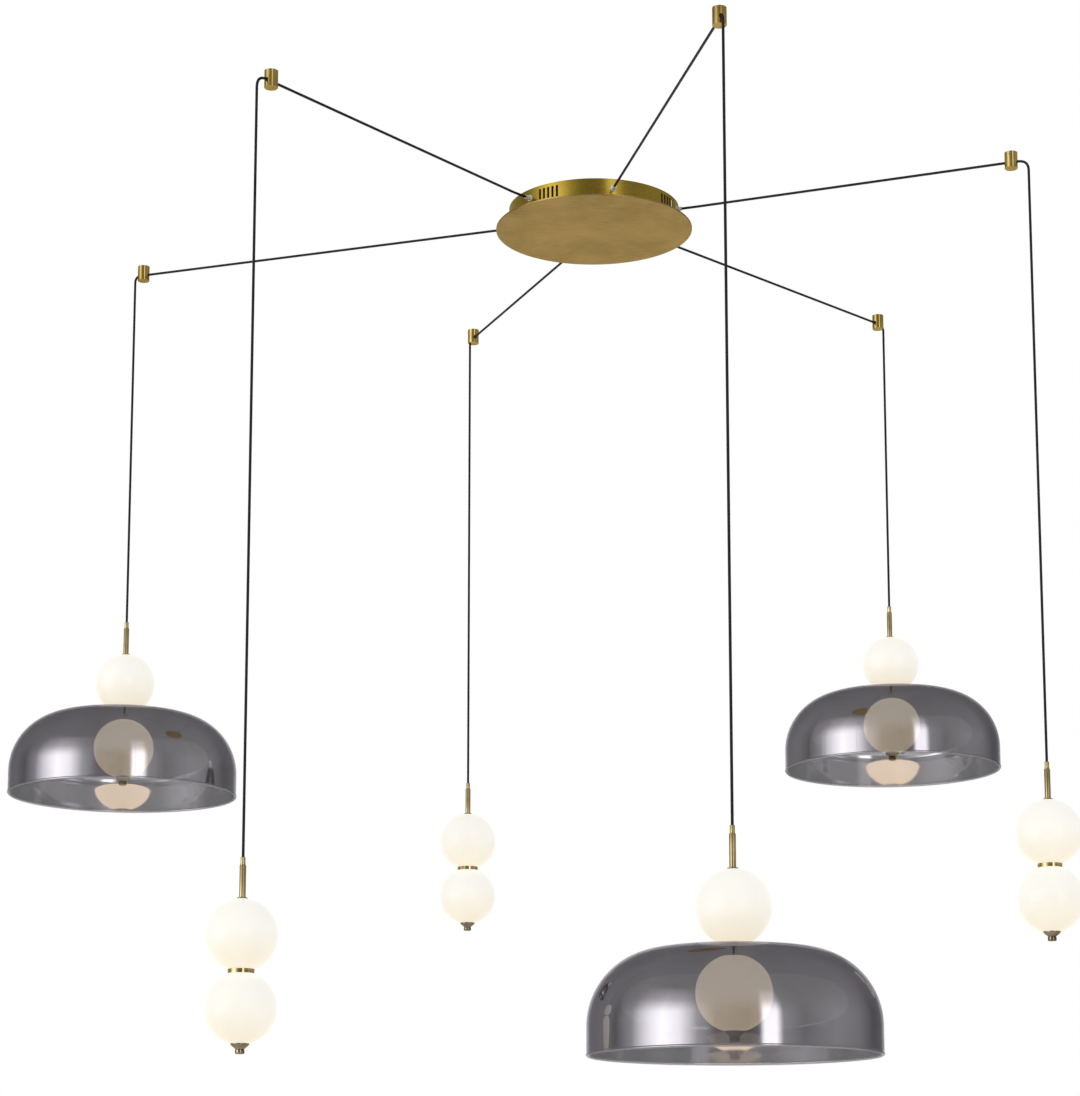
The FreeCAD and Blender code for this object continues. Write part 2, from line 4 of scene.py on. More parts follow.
import bmesh
import bpy
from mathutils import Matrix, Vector

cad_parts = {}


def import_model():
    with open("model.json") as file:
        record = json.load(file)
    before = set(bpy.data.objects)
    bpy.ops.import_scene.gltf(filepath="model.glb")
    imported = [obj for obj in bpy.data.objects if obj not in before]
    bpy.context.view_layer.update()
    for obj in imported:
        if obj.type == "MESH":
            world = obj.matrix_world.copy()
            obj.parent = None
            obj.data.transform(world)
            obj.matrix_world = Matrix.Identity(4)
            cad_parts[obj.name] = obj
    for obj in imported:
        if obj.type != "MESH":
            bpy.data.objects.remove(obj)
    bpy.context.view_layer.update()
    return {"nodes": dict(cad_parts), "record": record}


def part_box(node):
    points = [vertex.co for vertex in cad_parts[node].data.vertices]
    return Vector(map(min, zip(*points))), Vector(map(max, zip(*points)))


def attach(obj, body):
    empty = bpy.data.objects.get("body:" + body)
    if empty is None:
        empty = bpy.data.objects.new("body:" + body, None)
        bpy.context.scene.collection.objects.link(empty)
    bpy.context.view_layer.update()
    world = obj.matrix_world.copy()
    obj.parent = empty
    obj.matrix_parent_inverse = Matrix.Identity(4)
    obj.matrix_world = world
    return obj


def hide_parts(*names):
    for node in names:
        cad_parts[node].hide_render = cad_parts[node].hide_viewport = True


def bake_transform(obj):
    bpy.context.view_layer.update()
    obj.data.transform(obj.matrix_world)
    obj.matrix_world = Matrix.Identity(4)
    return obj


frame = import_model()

# Cluster pendant, dressed on its CAD frame. Metres, +Z up, ceiling at z = 0.

MM = 0.001
NUMBERS = (1, 2, 3, 4, 5, 6)
DOMES = (2, 4, 6)

# ---- Sizes shared with the CAD part ----
ANCHORS = {
    1: (-476.0, -552.0), 2: (157.0, -762.0), 3: (642.0, -244.0),
    4: (528.0, 532.0), 5: (-212.0, 615.0), 6: (-775.0, 272.0),
}
REACH = {1: 19.0, 2: 8.0, 3: 17.0, 4: 6.0, 5: 8.0, 6: 6.0}
CORD_RADIUS = 2.0 * MM
CORD_LEVEL = -15.5
HOUSING_RADIUS = 139.0
CORD_INSIDE = 12.0
KINK_DISTANCE = 25.0         # from the housing's wall out to the cord's turn at its grip
VENT_OFFSET = 44.5           # degrees from the first outlet back to the first vent group
ANCHOR_RADIUS = 10.0
SWING_LEAD = 1.35            # from the bend's end down to the cord's pivot point, which cord() works out and does not use
CORD_IN_STEM = 8.0
HOOK_POINT = 24.0            # six cord diameters, from a bend to the next point of the route

GLOBE_RADIUS = 50.0
GLOBE_WALL = 2.2
SMALL_HOLE = 5.0
LARGE_HOLE = 12.0
GLASS_LIP = 1.6
STEM_LENGTH = 57.0
DOME_RADIUS = 190.0
DOME_HEIGHT = 144.0
DOME_WALL = 3.0
DOME_CROWN = 790.0
DOME_SHOULDER = 100.0
DOME_BEAD = 2.3
COLUMN_RADIUS = 3.25
RING_GAP = 3.0
SPACER_GAP = 12.0
BALL_CLEARANCE = 0.12        # between a ball and the cup or ring that follows it

small_seat = math.sqrt(GLOBE_RADIUS ** 2 - (SMALL_HOLE + GLASS_LIP) ** 2)
large_seat = math.sqrt(GLOBE_RADIUS ** 2 - (LARGE_HOLE + GLASS_LIP) ** 2)


# ---- Colours ----
def linear(red, green, blue):
    """A display colour, 0 to 255, as a linear colour."""
    channels = []
    for value in (red, green, blue):
        value = value / 255
        channels.append(value / 12.92 if value <= 0.04045 else ((value + 0.055) / 1.055) ** 2.4)
    return (*channels, 1.0)


# ---- Material helpers ----
def new_material(name, colour, metallic, roughness):
    material = bpy.data.materials.new(name)
    material.use_nodes = True
    shader = material.node_tree.nodes["Principled BSDF"]
    shader.inputs["Base Color"].default_value = colour
    shader.inputs["Metallic"].default_value = metallic
    shader.inputs["Roughness"].default_value = roughness
    return material, material.node_tree, shader


def add(tree, kind, **values):
    node = tree.nodes.new(kind)
    for key, value in values.items():
        setattr(node, key, value)
    return node


def stretched_noise(tree, stretch, scale, detail=4.0):
    """Noise in the part's own frame, drawn out along an axis by a small stretch value."""
    coordinates = add(tree, "ShaderNodeTexCoord")
    mapping = add(tree, "ShaderNodeMapping")
    mapping.inputs["Scale"].default_value = stretch
    noise = add(tree, "ShaderNodeTexNoise")
    noise.inputs["Scale"].default_value = scale
    noise.inputs["Detail"].default_value = detail
    tree.links.new(coordinates.outputs["Object"], mapping.inputs["Vector"])
    tree.links.new(mapping.outputs["Vector"], noise.inputs["Vector"])
    return noise


def ramp_between(tree, factor, first, second, low=0.3, high=0.7):
    ramp = add(tree, "ShaderNodeValToRGB")
    ramp.color_ramp.elements[0].position = low
    ramp.color_ramp.elements[0].color = first
    ramp.color_ramp.elements[1].position = high
    ramp.color_ramp.elements[1].color = second
    tree.links.new(factor, ramp.inputs["Fac"])
    return ramp


def spread(tree, factor, low, high):
    """A noise value mapped from its middle range to low..high."""
    node = add(tree, "ShaderNodeMapRange")
    node.inputs["From Min"].default_value = 0.3
    node.inputs["From Max"].default_value = 0.7
    node.inputs["To Min"].default_value = low
    node.inputs["To Max"].default_value = high
    tree.links.new(factor, node.inputs["Value"])
    return node


def bump(tree, shader, height, strength, distance):
    node = add(tree, "ShaderNodeBump")
    node.inputs["Strength"].default_value = strength
    node.inputs["Distance"].default_value = distance
    tree.links.new(height, node.inputs["Height"])
    tree.links.new(node.outputs["Normal"], shader.inputs["Normal"])


def brushed_metal(name, dark, light, roughness, stretch, scale, grain):
    """Metal with a drawn-out grain in colour, roughness and relief."""
    material, tree, shader = new_material(name, light, 1.0, roughness)
    shader.inputs["Specular Tint"].default_value = (0.95, 0.84, 0.62, 1)
    noise = stretched_noise(tree, stretch, scale, 6.0)
    cloud = stretched_noise(tree, (1, 1, 1), 14.0, 3.0)
    mix = add(tree, "ShaderNodeMath", operation="MULTIPLY_ADD")
    tree.links.new(cloud.outputs["Fac"], mix.inputs[0])
    mix.inputs[1].default_value = 0.45
    tree.links.new(noise.outputs["Fac"], mix.inputs[2])
    colour = ramp_between(tree, mix.outputs["Value"], dark, light, 0.45, 0.95)
    tree.links.new(colour.outputs["Color"], shader.inputs["Base Color"])
    rough = spread(tree, noise.outputs["Fac"], roughness * 0.8, roughness * 1.25)
    tree.links.new(rough.outputs["Result"], shader.inputs["Roughness"])
    bump(tree, shader, noise.outputs["Fac"], grain, 0.0001)
    return material


def polished_brass(name, dark, light, roughness):
    """Turned and polished brass: faint rings round the upright axis and a soft tarnish."""
    material, tree, shader = new_material(name, light, 1.0, roughness)
    shader.inputs["Specular Tint"].default_value = (0.95, 0.80, 0.55, 1)
    rings = stretched_noise(tree, (1, 1, 120), 12.0, 3.0)
    cloud = stretched_noise(tree, (1, 1, 1), 30.0, 2.0)
    colour = ramp_between(tree, cloud.outputs["Fac"], dark, light)
    tree.links.new(colour.outputs["Color"], shader.inputs["Base Color"])
    rough = spread(tree, rings.outputs["Fac"], roughness * 0.8, roughness * 1.3)
    tree.links.new(rough.outputs["Result"], shader.inputs["Roughness"])
    bump(tree, shader, rings.outputs["Fac"], 0.05, 0.0001)
    return material


def opal_glass(name, strength, low, high):
    """Etched opal glass, lit warm from inside; its glow colour is graded by which way the surface faces,
    cream towards the bottom of each ball: painted shading.
    """
    material, tree, shader = new_material(name, linear(118, 116, 110), 0.0, 0.35)
    shader.inputs["Specular IOR Level"].default_value = 0.25
    shader.inputs["Emission Strength"].default_value = strength
    cloud = stretched_noise(tree, (1, 1, 1), 25.0, 2.0)
    surface = add(tree, "ShaderNodeNewGeometry")
    split = add(tree, "ShaderNodeSeparateXYZ")
    tree.links.new(surface.outputs["Normal"], split.inputs["Vector"])
    soft = add(tree, "ShaderNodeMath", operation="MULTIPLY_ADD")
    tree.links.new(cloud.outputs["Fac"], soft.inputs[0])
    soft.inputs[1].default_value = 0.1
    soft.inputs[2].default_value = 0.45
    # Painted shading: the glow is cream where the surface faces down and whiter where it faces up.
    facing_up = add(tree, "ShaderNodeMath", operation="MULTIPLY_ADD")
    tree.links.new(split.outputs["Z"], facing_up.inputs[0])
    facing_up.inputs[1].default_value = 0.42
    tree.links.new(soft.outputs["Value"], facing_up.inputs[2])
    glow = ramp_between(
        tree, facing_up.outputs["Value"], linear(*low), linear(*high), 0.10, 0.55)
    tree.links.new(glow.outputs["Color"], shader.inputs["Emission Color"])
    base = ramp_between(
        tree, cloud.outputs["Fac"], linear(112, 110, 104), linear(122, 120, 114))
    tree.links.new(base.outputs["Color"], shader.inputs["Base Color"])
    return material


def smoked_glass():
    """Half-mirrored smoked glass: a dark mirror on each face that lets some light through."""
    material, tree, shader = new_material("smoked_mirror_glass", (0.36, 0.345, 0.37, 1), 1.0, 0.05)
    shader.inputs["Specular Tint"].default_value = (0.55, 0.53, 0.56, 1)
    shader.inputs["Alpha"].default_value = 0.67
    cloud = stretched_noise(tree, (1, 1, 0.5), 9.0, 3.0)
    colour = ramp_between(
        tree, cloud.outputs["Fac"], (0.33, 0.315, 0.34, 1), (0.385, 0.37, 0.395, 1))
    tree.links.new(colour.outputs["Color"], shader.inputs["Base Color"])
    rough = spread(tree, cloud.outputs["Fac"], 0.03, 0.08)
    tree.links.new(rough.outputs["Result"], shader.inputs["Roughness"])
    bump(tree, shader, cloud.outputs["Fac"], 0.06, 0.001)
    return material


def plain(name, colour, roughness, metallic=0.0, scale=300.0, relief=0.1, gloss=0.5):
    """A moulded or plated surface with a fine unevenness."""
    material, tree, shader = new_material(name, colour, metallic, roughness)
    shader.inputs["Specular IOR Level"].default_value = gloss
    noise = stretched_noise(tree, (1, 1, 1), scale, 3.0)
    shade = tuple(channel * 0.8 for channel in colour[:3]) + (1.0,)
    blend = ramp_between(tree, noise.outputs["Fac"], shade, colour)
    tree.links.new(blend.outputs["Color"], shader.inputs["Base Color"])
    rough = spread(tree, noise.outputs["Fac"], roughness * 0.85, roughness * 1.15)
    tree.links.new(rough.outputs["Result"], shader.inputs["Roughness"])
    bump(tree, shader, noise.outputs["Fac"], relief, 0.0002)
    return material


def clear_plastic():
    material, tree, shader = new_material("clear_grip_plastic", linear(232, 230, 222), 0.0, 0.12)
    noise = stretched_noise(tree, (1, 1, 1), 500.0, 2.0)
    rough = spread(tree, noise.outputs["Fac"], 0.08, 0.2)
    tree.links.new(rough.outputs["Result"], shader.inputs["Roughness"])
    shader.inputs["Alpha"].default_value = 0.55
    return material


MATERIALS = {
    "face_brass": brushed_metal(
        "brushed_antique_brass", linear(120, 96, 52), linear(186, 156, 96), 0.34, (1, 30, 30), 70.0, 0.35),
    "housing_brass": brushed_metal(
        "satin_brass", linear(136, 112, 34), linear(176, 150, 62), 0.22, (6, 6, 90), 40.0, 0.08),
    "anchor_brass": polished_brass("polished_brass", linear(150, 124, 62), linear(188, 162, 96), 0.13),
    "pale_brass": polished_brass("pale_brass", linear(158, 138, 92), linear(196, 178, 134), 0.13),
    "steel": plain("zinc_steel", linear(150, 152, 155), 0.35, 1.0, 160.0),
    "driver_case": plain("driver_case", linear(226, 226, 222), 0.5),
    "clear_grip": clear_plastic(),
    "black_cord": plain("black_sheath", linear(17, 17, 18), 0.55, 0.0, 900.0, 0.35, 0.25),
    "opal_glass": opal_glass("opal_glass_lit", 0.80, (255, 242, 217), (255, 253, 245)),
    "smoked_glass": smoked_glass(),
}
# A brighter, warmer copy of the lit opal glass for the balls inside the smoked domes: painted glow, raised
# so that they show through the dark glass.
OPAL_UNDER_DOME_PAINTED_GLOW = opal_glass("opal_glass_under_dome_painted_glow", 2.1, (255, 226, 184), (255, 236, 208))
# Dark rubber for the seat washers; the same material also colours the dark plates of painted shade behind
# the canopy's vent slots.
DARK_RUBBER_AND_VENT_SHADE = plain("dark_rubber_and_vent_shade", linear(30, 27, 24), 0.6, 0.0, 400.0)
DARK_BRASS = polished_brass("dark_polished_brass", linear(92, 82, 64), linear(150, 140, 118), 0.10)
WHITE_GASKET = plain("translucent_gasket", linear(206, 200, 186), 0.4, 0.0, 400.0)


# ---- Mesh helpers ----
def finish_mesh(name, mesh_data, material, sharp_degrees=32.0):
    """Smooth shading with sharp edges kept where the surface turns hard."""
    work = bmesh.new()
    work.from_mesh(mesh_data)
    bmesh.ops.recalc_face_normals(work, faces=work.faces)
    limit = math.radians(sharp_degrees)
    for edge in work.edges:
        edge.smooth = len(edge.link_faces) == 2 and edge.calc_face_angle(0.0) < limit
    for face in work.faces:
        face.smooth = True
    work.to_mesh(mesh_data)
    work.free()
    piece = bpy.data.objects.new(name, mesh_data)
    bpy.context.collection.objects.link(piece)
    piece.data.materials.append(material)
    return piece


def lathe(name, outline, place, material, segments=72):
    """A closed ring of the outline, (radius, height) in mm, turned about the upright line through place."""
    count = len(outline)
    vertices = []
    for step in range(segments):
        angle = 2 * math.pi * step / segments
        for radius, height in outline:
            vertices.append((
                place[0] + radius * MM * math.cos(angle),
                place[1] + radius * MM * math.sin(angle),
                place[2] + height * MM))
    faces = []
    for step in range(segments):
        following = (step + 1) % segments
        for index in range(count):
            after = (index + 1) % count
            faces.append((
                step * count + index, following * count + index,
                following * count + after, step * count + after))
    mesh_data = bpy.data.meshes.new(name)
    mesh_data.from_pydata(vertices, [], faces)
    return finish_mesh(name, mesh_data, material)


def arc(centre, radius, start_degrees, end_degrees, count):
    """Points of an arc in an outline; 0 degrees points outwards and 90 up."""
    points = []
    for index in range(count + 1):
        angle = math.radians(start_degrees + (end_degrees - start_degrees) * index / count)
        points.append((centre[0] + radius * math.cos(angle), centre[1] + radius * math.sin(angle)))
    return points


def dress(piece, body, material_slot, *nodes):
    if nodes:
        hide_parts(*nodes)
    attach(piece, body)


# ---- CAD nodes that stay: their finish ----
def finish_cad_nodes():
    slot_of = {part["node"]: part["material_slot"] for part in frame["record"]["subparts"]}
    for node, node_object in frame["nodes"].items():
        material = MATERIALS[slot_of[node]]
        if not node_object.data.materials:
            node_object.data.materials.append(material)
        for slot in node_object.material_slots:
            slot.material = material


# ---- Places ----
def polar(radius, degrees, height=0.0):
    angle = math.radians(degrees)
    return Vector((radius * math.cos(angle), radius * math.sin(angle), height))


def direction_of(vector):
    return math.degrees(math.atan2(vector.y, vector.x))


def outlet_direction(number):
    return direction_of(Vector((*ANCHORS[2], 0))) + (number - 2) * 60.0


def hang_place(number):
    """The upright line of a hanging cord, at the ceiling, in metres."""
    low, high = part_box("cord_drop_%d" % number)
    return Vector(((low[0] + high[0]) / 2, (low[1] + high[1]) / 2, 0.0))


def stem_top(number):
    place = hang_place(number)
    place.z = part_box("stem_%d" % number)[1][2]
    return place


# ---- Cords ----
def route(number):
    """The cord's points: inside the canopy, the turn at the grip, past the anchor and down to the stem."""
    inside = polar(HOUSING_RADIUS - CORD_INSIDE, outlet_direction(number), CORD_LEVEL)
    corner = polar(HOUSING_RADIUS + KINK_DISTANCE, outlet_direction(number), CORD_LEVEL)
    anchor = Vector((*ANCHORS[number], CORD_LEVEL))
    along = (anchor - corner).normalized()
    over_drop = anchor + along * (ANCHOR_RADIUS + REACH[number])
    bottom = over_drop.copy()
    bottom.z = stem_top(number).z / MM - CORD_IN_STEM
    hook = max(HOOK_POINT, 2 * REACH[number])
    down = Vector((0, 0, -1))
    after_corner = corner + along * (corner - inside).length
    before_bend = over_drop - along * hook
    after_bend = over_drop + down * hook
    points = [inside, corner, after_corner, before_bend, over_drop, after_bend, bottom]
    return [point * MM for point in points]


def smooth_line(name, points):
    """Points along the NURBS line of a route."""
    curve = bpy.data.curves.new(name + "_line", "CURVE")
    curve.dimensions = "3D"
    curve.resolution_u = 12
    spline = curve.splines.new("NURBS")
    spline.points.add(len(points) - 1)
    for control, point in zip(spline.points, points):
        control.co = (*point, 1.0)
    spline.order_u = 3
    spline.use_endpoint_u = True
    holder = bpy.data.objects.new(name + "_line", curve)
    bpy.context.collection.objects.link(holder)
    bpy.context.view_layer.update()
    line = bpy.data.meshes.new_from_object(holder.evaluated_get(bpy.context.evaluated_depsgraph_get()))
    path = [vertex.co.copy() for vertex in line.vertices]
    bpy.data.objects.remove(holder)
    bpy.data.meshes.remove(line)
    return path


def tube(name, path, radius, material, sides=16):
    """A round tube that follows a path, with closed ends."""
    vertices = []
    faces = []
    reference = None
    for index, point in enumerate(path):
        before = path[max(index - 1, 0)]
        after = path[min(index + 1, len(path) - 1)]
        tangent = (after - before).normalized()
        if reference is None:
            reference = tangent.orthogonal().normalized()
        reference = (reference - tangent * reference.dot(tangent)).normalized()
        binormal = tangent.cross(reference)
        for side in range(sides):
            angle = 2 * math.pi * side / sides
            vertices.append(point + radius * (reference * math.cos(angle) + binormal * math.sin(angle)))
    for index in range(len(path) - 1):
        for side in range(sides):
            following = (side + 1) % sides
            faces.append((
                index * sides + side, index * sides + following,
                (index + 1) * sides + following, (index + 1) * sides + side))
    faces.append(tuple(range(sides)))
    faces.append(tuple(reversed(range((len(path) - 1) * sides, len(path) * sides))))
    mesh_data = bpy.data.meshes.new(name)
    mesh_data.from_pydata([tuple(vertex) for vertex in vertices], [], faces)
    return finish_mesh(name, mesh_data, material, 50.0)


def cord(number):
    name = "lamp_cord_%d" % number
    points = route(number)
    path = smooth_line(name, points)
    piece = tube(name, path, CORD_RADIUS, MATERIALS["black_cord"])
    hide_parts("cord_span_%d" % number, "cord_drop_%d" % number)
    pivot = hang_place(number)
    pivot.z = (CORD_LEVEL - REACH[number] - SWING_LEAD) * MM
    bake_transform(piece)


# ---- Pendant pieces; heights are in mm from the stem's top ----
upper_centre = -(STEM_LENGTH + small_seat)
dome_top = upper_centre - large_seat


def lower_centre(number):
    gap = DOME_WALL + SPACER_GAP if number in DOMES else RING_GAP
    return upper_centre - 2 * large_seat - gap


def ball_height(radius, clearance):
    """Height above a ball's middle of a surface that follows the ball, at a radius."""
    return math.sqrt((GLOBE_RADIUS + clearance) ** 2 - radius ** 2)


def stem(number):
    """A turned brass tube: collar with a cord bush, bead, long sleeve and foot."""
    collar, bead, sleeve, foot = 3.4, 3.8, 4.5, 6.5
    outline = [(2.3, -0.8), (2.5, 0.0), (collar - 0.5, 0.0), (collar - 0.12, -0.12), (collar, -0.5)]
    outline += [(collar, -3.6), (collar - 0.25, -3.8), (collar - 0.25, -4.2), (collar, -4.4)]
    outline += [(collar, -10.0), (bead - 0.3, -10.0), (bead, -10.3), (bead, -10.9), (bead - 0.3, -11.2)]
    outline += [(sleeve - 0.5, -11.2), (sleeve - 0.14, -11.34), (sleeve, -11.7)]
    outline += [(sleeve, -54.6), (sleeve + 0.1, -55.1), (sleeve + 0.4, -55.4)]
    outline += [(foot - 0.3, -55.4), (foot, -55.7), (foot, -STEM_LENGTH)]
    outline += [(COLUMN_RADIUS, -STEM_LENGTH), (COLUMN_RADIUS, -9.0), (2.3, -9.0)]
    piece = lathe("stem_sleeve_%d" % number, outline, stem_top(number), MATERIALS["pale_brass"], 48)
    dress(piece, "pendant_%d" % number, "pale_brass", "stem_%d" % number)


def seat_washer(number):
    """The dark washer under the stem's foot."""
    radius, top = 7.6, -56.2
    low = upper_centre + ball_height(radius, 0.0) + 0.05
    outline = [(6.55, top), (radius - 0.3, top), (radius, top - 0.3), (radius, low), (6.62, low + 0.2)]
    piece = lathe("seat_washer_%d" % number, outline, stem_top(number), DARK_RUBBER_AND_VENT_SHADE, 48)
    dress(piece, "pendant_%d" % number, "pale_brass")


def globe_outline(centre, large_hole_up):
    """A glass ball's wall with ground lips round its two holes."""
    sign = 1 if large_hole_up else -1
    inner = GLOBE_RADIUS - GLOBE_WALL
    small_edge = math.degrees(math.acos((SMALL_HOLE + GLASS_LIP) / GLOBE_RADIUS))
    large_edge = math.degrees(math.acos((LARGE_HOLE + GLASS_LIP) / GLOBE_RADIUS))
    small_inner = math.degrees(math.acos(SMALL_HOLE / inner))
    large_inner = math.degrees(math.acos(LARGE_HOLE / inner))
    outline = arc((0, 0), GLOBE_RADIUS, -small_edge, large_edge, 56)
    outline += [(LARGE_HOLE + 0.3, large_seat), (LARGE_HOLE, large_seat - 0.3)]
    outline += arc((0, 0), inner, large_inner, -small_inner, 40)
    outline += [(SMALL_HOLE, -small_seat + 0.3), (SMALL_HOLE + 0.3, -small_seat)]
    return [(radius, centre + sign * height) for radius, height in outline]


def globes(number):
    for level, centre, large_up in (
            ("upper", upper_centre, False), ("lower", lower_centre(number), True)):
        outline = globe_outline(centre, large_up)
        # The balls inside the smoked domes take the brighter, warmer copy: painted glow.
        in_shade = number in DOMES and level == "lower"
        glass = OPAL_UNDER_DOME_PAINTED_GLOW if in_shade else MATERIALS["opal_glass"]
        piece = lathe("%s_ball_%d" % (level, number), outline, stem_top(number), glass, 96)
        dress(piece, "pendant_%d" % number, "opal_glass", "%s_globe_%d" % (level, number))


def ring(number):
    """The brass ring between two balls: a fluted band over a web."""
    middle = upper_centre - large_seat - RING_GAP / 2
    outer = 18.25
    groove = outer - 0.35
    to_ball = middle - lower_centre(number)
    half = to_ball - ball_height(outer, BALL_CLEARANCE)
    follow = []
    for radius in (17.4, 16.6, 15.6, 14.6, 13.8):
        follow.append((radius, to_ball - ball_height(radius, BALL_CLEARANCE)))
    outline = [(outer - 0.25, half), (outer, half - 0.25), (outer, 0.95), (groove, 0.6)]
    outline += [(groove, -0.6), (outer, -0.95), (outer, 0.25 - half), (outer - 0.25, -half)]
    outline += [(radius, -height) for radius, height in follow]
    web = RING_GAP / 2
    outline += [(13.6, -web), (COLUMN_RADIUS, -web), (COLUMN_RADIUS, web), (13.6, web)]
    outline += reversed(follow)
    outline = [(radius, middle + height) for radius, height in outline]
    piece = lathe("joining_ring_%d" % number, outline, stem_top(number), MATERIALS["pale_brass"], 96)
    dress(piece, "pendant_%d" % number, "pale_brass", "ring_%d" % number)


def finial(number):
    """The domed disc under the lower ball, with its round nut."""
    seat = lower_centre(number) - small_seat
    disc, nut, height = 13.0, 6.5, 13.0
    bore, bore_end = COLUMN_RADIUS, -8.2
    edge = GLOBE_RADIUS - ball_height(disc, 0.0)
    cup = [(radius, small_seat - ball_height(radius, BALL_CLEARANCE)) for radius in (12.6, 11.0, 9.0, 7.4)]
    outline = [(disc - 0.3, edge - 0.02), (disc, edge - 0.35), (disc, edge - 1.2), (disc - 0.25, edge - 1.5)]
    outline += [(11.6, -1.55), (10.0, -3.0), (8.6, -4.1), (7.4, -4.9), (6.9, -5.4), (6.6, -6.0)]
    outline += [(5.9, -6.3), (5.9, -6.8), (6.1, -7.1), (nut, -7.6), (nut, -11.4)]
    outline += [(6.25, -12.2), (5.6, -12.75), (4.6, -height), (0.0, -height)]
    outline += [(0.0, bore_end), (bore, bore_end), (bore, 0.0), (6.6, 0.0)]
    outline += reversed(cup)
    outline = [(radius, seat + level) for radius, level in outline]
    piece = lathe("finial_nut_%d" % number, outline, stem_top(number), DARK_BRASS, 64)
    dress(piece, "pendant_%d" % number, "pale_brass", "finial_%d" % number)


def dome_arcs(inset):
    """The outline of one side of the dome's wall, from the middle outwards and down to the rim."""
    rim = dome_top - DOME_HEIGHT
    crown = DOME_CROWN - inset
    shoulder = DOME_SHOULDER - inset
    out = DOME_RADIUS - DOME_SHOULDER
    shoulder_height = DOME_HEIGHT - DOME_CROWN + math.sqrt((DOME_CROWN - DOME_SHOULDER) ** 2 - out ** 2)
    crown_centre = (0.0, rim + DOME_HEIGHT - DOME_CROWN)
    lean = math.degrees(math.atan2(out, rim + shoulder_height - crown_centre[1]))
    hole = math.degrees(math.asin(COLUMN_RADIUS / crown))
    points = arc(crown_centre, crown, 90 - hole, 90 - lean, 14)
    points += arc((out, rim + shoulder_height), shoulder, 90 - lean, 0, 26)[1:]
    for level in (28.0, 18.0, 9.0):
        points.append((out + shoulder, rim + level))
    return points


def dome(number):
    """The smoked shade: an even glass wall with a rolled rim."""
    rim = dome_top - DOME_HEIGHT
    bead_centre = (DOME_RADIUS - DOME_WALL / 2, rim + DOME_BEAD)
    outline = dome_arcs(0.0)
    outline += arc(bead_centre, DOME_BEAD, 50, -230, 22)
    outline += reversed(dome_arcs(DOME_WALL))
    piece = lathe("smoked_shade_%d" % number, outline, stem_top(number), MATERIALS["smoked_glass"], 160)
    dress(piece, "pendant_%d" % number, "smoked_glass", "dome_%d" % number)


def spacer(number):
    """The brass spool between the dome's crown and the lower ball."""
    top = dome_top - DOME_WALL - 0.1
    low = lower_centre(number) + large_seat
    outline = [(COLUMN_RADIUS, top), (11.7, top), (12.0, top - 0.3), (12.0, top - 1.5), (11.5, top - 2.0)]
    outline += [(5.2, top - 2.0), (4.6, top - 2.6), (4.5, low + 3.6), (5.0, low + 3.0), (9.5, low + 2.5)]
    outline += [(13.0, low + 1.4), (14.7, low + 0.4), (15.0, low - 0.1), (14.8, low - 0.35)]
    outline += [(13.7, low), (COLUMN_RADIUS, low)]
    piece = lathe("dome_spool_%d" % number, outline, stem_top(number), MATERIALS["pale_brass"], 64)
    dress(piece, "pendant_%d" % number, "pale_brass", "spacer_%d" % number)


def dome_gasket(number):
    """The pale gasket between the upper ball and the dome's crown."""
    radius, hole, clearance = 17.5, 14.2, 0.1
    ball = upper_centre - ball_height(radius, clearance)
    glass = dome_top - DOME_CROWN + math.sqrt(DOME_CROWN ** 2 - radius ** 2) + 0.05
    inner = upper_centre - ball_height(hole, clearance)
    outline = [(hole, inner), (radius - 0.3, ball), (radius, ball - 0.3), (radius, glass + 0.3)]
    outline += [(radius - 0.3, glass), (hole, glass)]
    piece = lathe("dome_gasket_%d" % number, outline, stem_top(number), WHITE_GASKET, 72)
    dress(piece, "pendant_%d" % number, "opal_glass")


def pendant(number):
    stem(number)
    seat_washer(number)
    globes(number)
    finial(number)
    if number in DOMES:
        dome(number)
        spacer(number)
        dome_gasket(number)
    else:
        ring(number)


def painted_vent_shade_plates():
    """Four dark curved plates inside the canopy, close behind the groups of vent slots: painted shade, dark
    sheets standing for the darkness seen through the vents.
    """
    inner, outer = 133.8, 134.8
    top, low = -0.3, -30.5
    half_angle, steps = 9.5, 8
    corners = ((inner, low), (outer, low), (outer, top), (inner, top))
    vertices = []
    faces = []
    for group in range(4):
        middle = outlet_direction(2) - VENT_OFFSET + 90.0 * group
        base = len(vertices)
        for step in range(steps + 1):
            angle = middle - half_angle + 2 * half_angle * step / steps
            for radius, height in corners:
                vertices.append(tuple(polar(radius, angle, height) * MM))
        for step in range(steps):
            for side in range(4):
                first = base + 4 * step + side
                second = base + 4 * step + (side + 1) % 4
                faces.append((first, first + 4, second + 4, second))
        faces.append((base, base + 1, base + 2, base + 3))
        last = base + 4 * steps
        faces.append((last + 3, last + 2, last + 1, last))
    mesh_data = bpy.data.meshes.new("painted_vent_shade_plates")
    mesh_data.from_pydata(vertices, [], faces)
    piece = finish_mesh("painted_vent_shade_plates", mesh_data, DARK_RUBBER_AND_VENT_SHADE)
    dress(piece, "root", "driver_case")


# ---- Studio ----
def background_rays(tree):
    """1 for a camera or transmission ray, else 0; and the Light Path node it comes from."""
    rays = add(tree, "ShaderNodeLightPath")
    seen = add(tree, "ShaderNodeMath", operation="MAXIMUM")
    tree.links.new(rays.outputs["Is Camera Ray"], seen.inputs[0])
    tree.links.new(rays.outputs["Is Transmission Ray"], seen.inputs[1])
    return seen, rays


